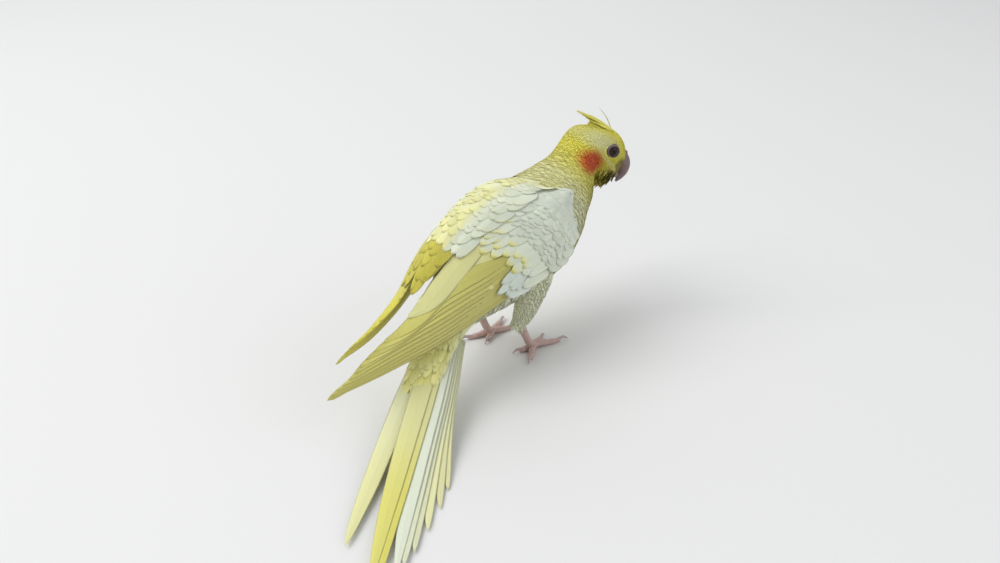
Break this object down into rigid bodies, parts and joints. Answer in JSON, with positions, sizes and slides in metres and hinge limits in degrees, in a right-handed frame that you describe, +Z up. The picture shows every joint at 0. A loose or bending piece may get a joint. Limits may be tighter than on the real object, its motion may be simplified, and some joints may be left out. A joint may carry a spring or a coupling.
{
  "type": "cockatiel",
  "caption": "Life-size still model of a pale yellow cockatiel standing with its head turned and its long tail laid on the floor behind it.",
  "frame": {"origin": "on the floor, under the middle of the bird's box", "axes": "+X the way the body faces, +Y to the bird's left, +Z up"},
  "size_m": [0.2832, 0.1096, 0.1159],
  "materials": {
    "head_feathers": "soft matte feather, lemon yellow with an orange cheek patch",
    "pale_feathers": "soft matte feather, creamy white",
    "yellow_feathers": "satin flight feather, yellow",
    "eye": "wet gloss, very dark red brown",
    "bill": "satin horn, grey pink",
    "foot_skin": "scaled skin, flesh pink",
    "claw": "satin horn"
  },
  "bodies": {
    "root": {"head": "head_feathers", "neck": "head_feathers", "trunk": "pale_feathers", "rump": "pale_feathers", "thigh_right": "pale_feathers", "thigh_left": "pale_feathers", "wing_right": "pale_feathers", "wing_left": "pale_feathers", "tail_left_outer": "pale_feathers", "tail_right_outer": "pale_feathers", "tail_left_inner": "pale_feathers", "tail_right_inner": "pale_feathers", "tail_left_middle": "pale_feathers", "crest_front": "yellow_feathers", "crest_middle": "yellow_feathers", "crest_curl": "yellow_feathers", "flight_feathers_right": "yellow_feathers", "flight_feathers_left": "yellow_feathers", "tail_right_middle": "yellow_feathers", "eye_right": "eye", "eye_left": "eye", "bill_upper": "bill", "bill_lower": "bill", "foot_right": "foot_skin", "claw_inner_right": "claw", "claw_outer_right": "claw", "claw_back_outer_right": "claw", "claw_back_inner_right": "claw", "foot_left": "foot_skin", "claw_inner_left": "claw", "claw_outer_left": "claw", "claw_back_outer_left": "claw", "claw_back_inner_left": "claw"}
  },
  "joints": []
}
